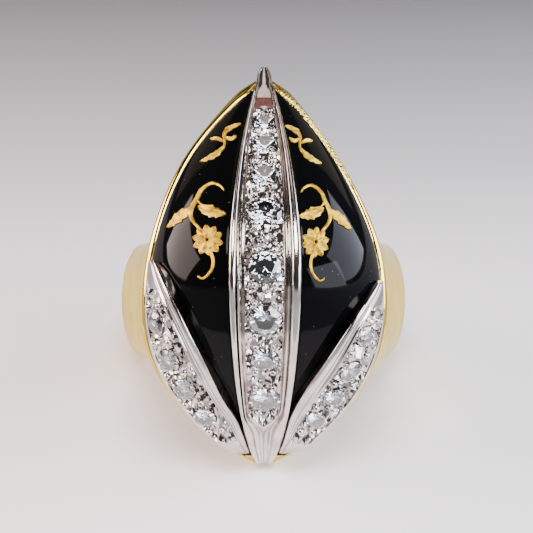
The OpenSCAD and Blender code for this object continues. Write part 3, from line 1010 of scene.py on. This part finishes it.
def leafFoot(part, z):
    return min(leafIn(part, z), max(bandHalf(z) + ring["gap"], leafEdge(part, z, 1)))


def railOf(part, z):
    return max(0.1, min(0.8, (leafEdge(part, seenZ(z), 3) - leafIn(part, z)) / leafWidth(part, z)))


def leafPoint(part, z, c, h):
    width = leafWidth(part, z)
    small = 1 if z > ring["wideZ"] else min(1, width / leaf["fullWidth"])
    base = skin(z, turnAt(z, leafIn(part, z) + width * c))
    return base + outOfCrest(z) * (leaf["lift"] + (leaf["thick"] + leaf["raise"] * c + h) * small)


def outOfLeaf(part, z, c):
    across = leafPoint(part, z, c + 0.05, 0) - leafPoint(part, z, c - 0.05, 0)
    along = leafPoint(part, z + 0.1, c, 0) - leafPoint(part, z - 0.1, c, 0)
    return across.cross(along).normalized()


def leafZ(part, along):
    return leaf["footZ"] + (part["tipZ"] - leaf["footZ"]) * along


def onItsSide(part, point):
    # what is worked out for the right goes to the leaf's own side
    return Vector((point.x * part["sign"], point.y, point.z))


def leafUpper(part, across, along):
    z = leafZ(part, along)
    rail = railOf(part, z)
    wall, railEnd = leaf["wallShare"], leaf["wallShare"] + leaf["railShare"]
    tip = smooth(1.2 * (z - part["tipZ"] + leaf["plateLength"]))
    foot = smooth(1.4 * (part["stones"][-1][0] - 1.3 - z))
    plain = max(tip, foot)
    if across < wall:
        # the wall leans from its foot on the enamel up to the rail, bowed a little outwards
        rise = across / wall
        turn = turnAt(z, leafFoot(part, z))
        point = onSkin(z, turn, 0.12).lerp(leafPoint(part, z, 0, leafRail[0][1]), rise)
        point += outOfSkin(z, turn) * 0.06 * math.sin(math.pi * rise)
    elif across < railEnd:
        share = (across - wall) / leaf["railShare"]
        point = leafPoint(part, z, rail * share, lookup(share, leafRail))
    else:
        outer = (across - railEnd) / (1 - railEnd)
        c = rail + (1 - rail) * outer
        # a thin lip at the edge, with a dark line cut inside it
        line = smooth((outer - 0.74) / 0.06) * (1 - smooth((outer - 0.86) / 0.05))
        lip = 0.13 * smooth((outer - 0.9) / 0.04) - 0.3 * line
        h = max(lip, leaf["plateHeight"] * plain)
        if plain < 0.5 and outer < 0.9:
            here = leafPoint(part, z, c, 0)
            fromStones = [
                ((here - centre).length, diameter) for centre, diameter in part["seats"]
                if abs(z - centre.z) < 2 * diameter]
            h = max(h + cutBed(here.x + 40, z * 1.25, fromStones), -0.75)
        point = leafPoint(part, z, c, h)
    return onItsSide(part, point)


def leafLower(part, across, along):
    # the underside follows the enamel, from the wall's foot to the outer edge
    z = leafZ(part, along)
    foot = leafFoot(part, z)
    share = max(0.0, across - leaf["wallShare"]) / (1 - leaf["wallShare"])
    off = 0.09 + 0.02 * min(1, across / leaf["wallShare"])
    return onItsSide(part, onSkin(z, turnAt(z, foot + (leafOut(z) - foot) * share), off))


for name, part in leafSides.items():
    stones = part["stones"]
    part["seats"] = [(leafPoint(part, z, c, 0), diameter) for z, c, diameter in stones]
    petal = growPlate(
        "leaf" + name.title(), leaf["columns"], leaf["rows"],
        lambda across, along: leafUpper(part, across, along),
        lambda across, along: leafLower(part, across, along))
    smoothByAngle(petal, 28)
    petalBeads = []
    places = [stones[0][0] + leaf["beadAbove"]]
    places += [(above[0] + below[0]) / 2 for above, below in zip(stones, stones[1:])]
    places += [stones[-1][0] - leaf["beadBelow"]]
    for index, z in enumerate(places):
        middle = (stones[max(0, index - 1)][1] + stones[min(len(stones) - 1, index)][1]) / 2
        for side in (-1, 1):
            bead = makeBead(
                f"leafBead{name}{len(petalBeads)}", beads["leafWide"], beads["leafTall"])
            c = middle + side * leaf["beadAside"]
            at = onItsSide(part, leafPoint(part, z, c, leaf["beadLift"]))
            moveMesh(bead, standAt(at, onItsSide(part, outOfLeaf(part, z, c))))
            smoothByAngle(bead, 80)
            petalBeads.append(bead)
    joinTo(petal, petalBeads)
    finishPiece(petal, whiteGold, ["leaf_" + name])
print("leaves done")

# the diamonds' cut: the heights and widths of its rings of points, as shares of the diameter
cut = {
    "crown": 0.15, "girdle": 0.03, "pavilion": 0.4,
    "table": 0.56, "star": 0.76, "low": 0.22,
    "seed": 3,
}


def makeBrilliant():
    # rings of points for table, stars, girdle and pavilion, then the hull over them: flat facets
    radius = 0.5
    table = radius * cut["table"]
    star = radius * cut["star"]
    low = radius * cut["low"]
    turnHalf = math.pi / 8
    inwards = radius - star * math.cos(turnHalf)
    starHeight = cut["girdle"] + (cut["crown"] - cut["girdle"]) * inwards / (radius - table)
    lowHeight = -cut["pavilion"] + cut["pavilion"] * low * math.cos(turnHalf) / radius
    rings = [
        (8, table, cut["crown"], 0), (8, star, starHeight, turnHalf),
        (16, radius, cut["girdle"], 0), (16, radius, 0, 0), (8, low, lowHeight, turnHalf),
    ]
    deselectAll()
    bpy.ops.mesh.primitive_circle_add(
        vertices=3, radius=0.004, location=(0, 0, -cut["pavilion"]))
    stone = bpy.context.object
    bpy.ops.object.transform_apply(location=True, rotation=True, scale=True)
    bpy.ops.object.mode_set(mode="EDIT")
    for count, reach, height, turn in rings:
        bpy.ops.mesh.primitive_circle_add(
            vertices=count, radius=reach, location=(0, 0, height), rotation=(0, 0, turn))
    bpy.ops.mesh.select_all(action="SELECT")
    bpy.ops.mesh.convex_hull()
    bpy.ops.mesh.select_all(action="SELECT")
    bpy.ops.mesh.dissolve_limited(angle_limit=math.radians(0.8))
    bpy.ops.mesh.select_all(action="SELECT")
    bpy.ops.mesh.normals_make_consistent(inside=False)
    bpy.ops.object.mode_set(mode="OBJECT")
    return stone


brilliant = makeBrilliant()
stoneChance = random.Random(cut["seed"])


def setStone(name, node, point, out, diameter):
    # each stone is turned at chance and tipped by up to 2.5 degrees, as set by hand
    stone = copyOf(brilliant, name)
    spin = Matrix.Rotation(stoneChance.uniform(0, math.pi), 4, "Z")
    tip = Matrix.Rotation(math.radians(stoneChance.uniform(-2.5, 2.5)), 4, "X")
    size = Matrix.Diagonal((diameter, diameter, diameter, 1))
    moveMesh(stone, standAt(point, out) @ tip @ spin @ size)
    finishPiece(stone, diamond, [node])


for index, (z, diameter) in enumerate(centreStones, 1):
    at = onCrest(z, 0, 0.02 - band["bedDepth"])
    setStone(f"centreStone{index}", f"centre_stone_{index}", at, outOfCrest(z), diameter)
for name, part in leafSides.items():
    for index, (z, c, diameter) in enumerate(part["stones"], 1):
        at = onItsSide(part, leafPoint(part, z, c, 0.02))
        out = onItsSide(part, outOfLeaf(part, z, c))
        setStone(f"{name}Stone{index}", f"{name}_stone_{index}", at, out, diameter)
deselectAll()
brilliant.select_set(True)
bpy.ops.object.delete()
print("diamonds done")

# the inlays are drawn flat, as seen from the front, and then laid on the enamel
inlay = {"height": 0.1, "above": 0.03, "sunk": 0.02, "fineRows": 34, "plainRows": 14}
# scale across, shift along
inlayFit = {"left": (-1.0, 0.0), "right": (0.88, -0.15)}
# stems: points, half width at both ends; blades: points, width, teeth; flowers: middle, radius
spray = {
    "stems": [
        ([(2.76, 7.7), (2.94, 7.95), (3.26, 8.14), (3.63, 8.19), (4.03, 7.99), (4.36, 7.65),
          (4.54, 7.23), (4.79, 6.77), (4.98, 6.39)], 0.06, 0.17),
        ([(4.96, 6.35), (4.98, 6.0), (4.79, 5.56), (4.25, 5.0)], 0.16, 0.09),
        ([(4.54, 7.23), (4.45, 6.91), (4.11, 6.66), (3.44, 6.63)], 0.09, 0.05),
        ([(3.7, 3.7), (3.44, 3.03), (3.5, 2.44), (3.81, 1.99), (4.14, 1.77), (4.46, 1.92)],
         0.12, 0.06),
    ],
    "blades": [
        ([(4.48, 6.6), (3.81, 6.3), (3.15, 6.14), (2.6, 6.06)], 0.74, 5),
        ([(4.87, 6.5), (5.52, 6.13), (6.1, 5.66), (6.6, 5.2)], 0.66, 4),
    ],
    "flowers": [((3.81, 4.31), 1.04)],
}
sprig = {
    "stems": [([(2.84, 11.59), (2.74, 11.2), (2.79, 10.79), (3.07, 10.47)], 0.07, 0.09)],
    "blades": [
        ([(2.88, 11.5), (2.62, 12.0), (2.12, 12.3), (1.62, 12.46)], 0.34, 3),
        ([(2.75, 11.5), (2.3, 11.37), (1.93, 11.56)], 0.2, 0),
        ([(2.83, 11.2), (3.3, 11.44), (3.74, 11.37)], 0.2, 0),
        ([(2.8, 10.8), (3.29, 10.32), (3.81, 10.02), (4.42, 9.75)], 0.4, 4),
    ],
    "flowers": [],
}


def alongCurve(points, share):
    # a smooth line through the points
    at = share * (len(points) - 1)
    i = min(int(at), len(points) - 2)
    t = at - i
    a, b, c, d = (points[max(0, min(len(points) - 1, i + k))] for k in (-1, 0, 1, 2))
    return tuple(
        0.5 * (2 * b[k] + (c[k] - a[k]) * t + (2 * a[k] - 5 * b[k] + 4 * c[k] - d[k]) * t * t
               + (3 * b[k] - a[k] - 3 * c[k] + d[k]) * t * t * t) for k in (0, 1))


def onPanel(flat, fit, off):
    # the turn is found for the place as seen from the front, where the head is a little lopsided
    x = flat[0] * fit[0]
    z = flat[1] + fit[1]
    turn = turnAt(z, x + fuller(z) * (x / halfWidth(z)) ** 2)
    return onSkin(z, turn, off)


# heights across a strip: a round stem, a leaf with a sunk midrib, a petal with a sharp ridge
backs = {
    "stem": [(0, 0.4), (0.25, 0.85), (0.5, 1.0), (0.75, 0.85), (1, 0.4)],
    "blade": [(0, 0.3), (0.25, 1.0), (0.5, 0.45), (0.75, 1.0), (1, 0.3)],
    "petal": [(0, 0.2), (0.25, 0.5), (0.5, 1.15), (0.75, 0.5), (1, 0.2)],
}
# the rows of petals: how many, start and end as shares of the radius, width, lift
petalRows = [(10, 0.3, 1.0, 0.44, 0.0), (8, 0.1, 0.62, 0.34, 0.05)]
# the flower's eye is a ring that stops just short of a full turn
flowerEye = {"reach": 0.16, "half": 0.06, "lift": 0.07, "turn": 6.2}


def layStrip(name, fit, centreAt, halfAt, rows, back, lift=0.0):
    # a strip of foil, as wide as halfAt says along its length
    def strip(across, along, upper):
        here = centreAt(along)
        before, after = centreAt(max(0, along - 0.02)), centreAt(min(1, along + 0.02))
        dx, dz = after[0] - before[0], after[1] - before[1]
        length = math.hypot(dx, dz) or 1
        side = (across * 2 - 1) * halfAt(along)
        flat = (here[0] - dz / length * side, here[1] + dx / length * side)
        height = lift + inlay["height"] * lookup(across, backs[back])
        return onPanel(flat, fit, inlay["above"] + (height if upper else -inlay["sunk"]))
    return growPlate(
        name, 4, rows, lambda u, v: strip(u, v, True), lambda u, v: strip(u, v, False))


def layStem(name, fit, points, start, end):
    return layStrip(
        name, fit, lambda v: alongCurve(points, v), lambda v: start + (end - start) * v,
        6 * len(points), "stem")


def layBlade(name, fit, points, width, teeth, back="blade", lift=0.0):
    # pointed at both ends; the teeth of a leaf lean towards its tip
    def half(v):
        body = 0.03 + width / 2 * math.sin(math.pi * v ** 0.85)
        if teeth:
            body *= 0.74 + 0.34 * (1 - (v * teeth) % 1)
        return body
    rows = inlay["fineRows"] if teeth else inlay["plainRows"]
    return layStrip(name, fit, lambda v: alongCurve(points, v), half, rows, back, lift)


def layFlower(name, fit, centre, radius):
    # two rows of pointed petals round a small eye
    def around(reach, turn):
        return (
            centre[0] + reach * radius * math.cos(turn),
            centre[1] + reach * radius * math.sin(turn))

    petals = []
    for tier, (count, start, reach, width, lift) in enumerate(petalRows):
        for k in range(count):
            turn = 2 * math.pi * (k + 0.3 * tier) / count + 0.2
            petals.append(layBlade(
                f"{name}Petal{tier}{k}", fit, [around(start, turn), around(reach, turn)],
                width * radius, 0, "petal", lift))
    petals.append(layStrip(
        name + "Eye", fit, lambda v: around(flowerEye["reach"], flowerEye["turn"] * v),
        lambda v: flowerEye["half"], 24, "stem", flowerEye["lift"]))
    return petals


for art, drawing in (("spray", spray), ("sprig", sprig)):
    for name, fit in inlayFit.items():
        title = art + name.title()
        strips = [
            layStem(f"{title}Stem{k}", fit, *row) for k, row in enumerate(drawing["stems"])]
        strips += [
            layBlade(f"{title}Blade{k}", fit, *row) for k, row in enumerate(drawing["blades"])]
        for k, (centre, radius) in enumerate(drawing["flowers"]):
            strips += layFlower(f"{title}Flower{k}", fit, centre, radius)
        piece = joinTo(strips[0], strips[1:])
        piece.name = title
        smoothByAngle(piece, 40)
        finishPiece(piece, inlayGold, [f"{art}_{name}"])
print("inlays done")

# the studio: metres, degrees, and millimetres where it says so
studio = {
    "distance": 0.150,        # from the camera to the middle of the finger
    "lens": 132.6,            # millimetres
    "turn": 0.4,              # the camera stands this far left of the middle
    "lookZ": 2.56,            # millimetres along the finger and across it
    "slideX": 0.235,
    "aimZ": 0.012,            # height that the softboxes are turned to
    "room": "#C9CBCF",
    "roomStrength": 0.09,
}
# each softbox: way round from the camera's side, height angle, distance, shape, size, power, colour
lights = {
    "softboxOver": (0, 64, 0.34, "ELLIPSE", (0.18, 0.20), 1.6, "#FFFFFF"),
    "softboxBack": (180, 68, 0.30, "ELLIPSE", (0.08, 0.18), 0.06, "#FFECE4"),
    "softboxWarm": (180, 41, 0.30, "RECTANGLE", (0.10, 0.09), 0.016, "#C87868"),
    "rimLeft": (-148, 20, 0.30, "RECTANGLE", (0.12, 0.16), 0.03, "#FFE6C8"),
    "rimRight": (148, 20, 0.30, "RECTANGLE", (0.12, 0.16), 0.04, "#FFF0D8"),
    "softboxLeft": (-95, 18, 0.30, "RECTANGLE", (0.32, 0.16), 2.6, "#FFE6DF"),
    "softboxRight": (96, 20, 0.30, "RECTANGLE", (0.32, 0.20), 2.2, "#E9EFFF"),
    "softboxFront": (50, 11, 0.30, "RECTANGLE", (0.22, 0.15), 1.2, "#EDF1FF"),
}


def laySheet(name, centre, size, material):
    deselectAll()
    bpy.ops.mesh.primitive_plane_add(size=1, location=centre)
    sheet = bpy.context.object
    sheet.name = name
    sheet.scale = (size[0], size[1], 1)
    bpy.ops.object.transform_apply(location=True, rotation=True, scale=True)
    sheet.data.materials.append(material)


laySheet("backdropSheet", (0, 0.047, -0.00002), (0.072, 0.146), backdropPaperPaintedFalloff())
laySheet("tableTop", (0, 0, -0.0004), (1.6, 1.6), stoneTable())

aim = Vector((0, 0, studio["aimZ"]))
for name, (around, height, distance, shape, size, power, colour) in lights.items():
    around, height = math.radians(around), math.radians(height)
    place = aim + distance * Vector((
        math.sin(around) * math.cos(height), -math.cos(around) * math.cos(height),
        math.sin(height)))
    deselectAll()
    bpy.ops.object.light_add(type="AREA", location=place)
    softbox = bpy.context.object
    softbox.name = name
    softbox.data.shape = shape
    softbox.data.size, softbox.data.size_y = size
    softbox.data.energy = power
    softbox.data.color = fromHex(colour)[:3]
    softbox.rotation_euler = (aim - place).to_track_quat("-Z", "Y").to_euler()

world = bpy.data.worlds.new("studioRoom")
bpy.context.scene.world = world
world.use_nodes = True
room = world.node_tree.nodes["Background"]
room.inputs["Color"].default_value = fromHex(studio["room"])
room.inputs["Strength"].default_value = studio["roomStrength"]

turn = math.radians(studio["turn"])
ahead = Vector((math.sin(turn), math.cos(turn), 0))
right = Vector((math.cos(turn), -math.sin(turn), 0))
cameraAt = right * studio["slideX"] - ahead * studio["distance"] * 1000
cameraAt.z = studio["lookZ"]
deselectAll()
bpy.ops.object.camera_add()
camera = bpy.context.object
camera.name = "photoCamera"
camera.data.lens = studio["lens"]
camera.data.sensor_width = 36
camera.data.clip_start = 0.01
tilted = lieDown.to_3x3()
camera.matrix_world = frameOf(
    tilted @ right, tilted @ Vector((0, 0, 1)), tilted @ -ahead, inPlace(cameraAt))
bpy.context.scene.camera = camera
print("studio done")
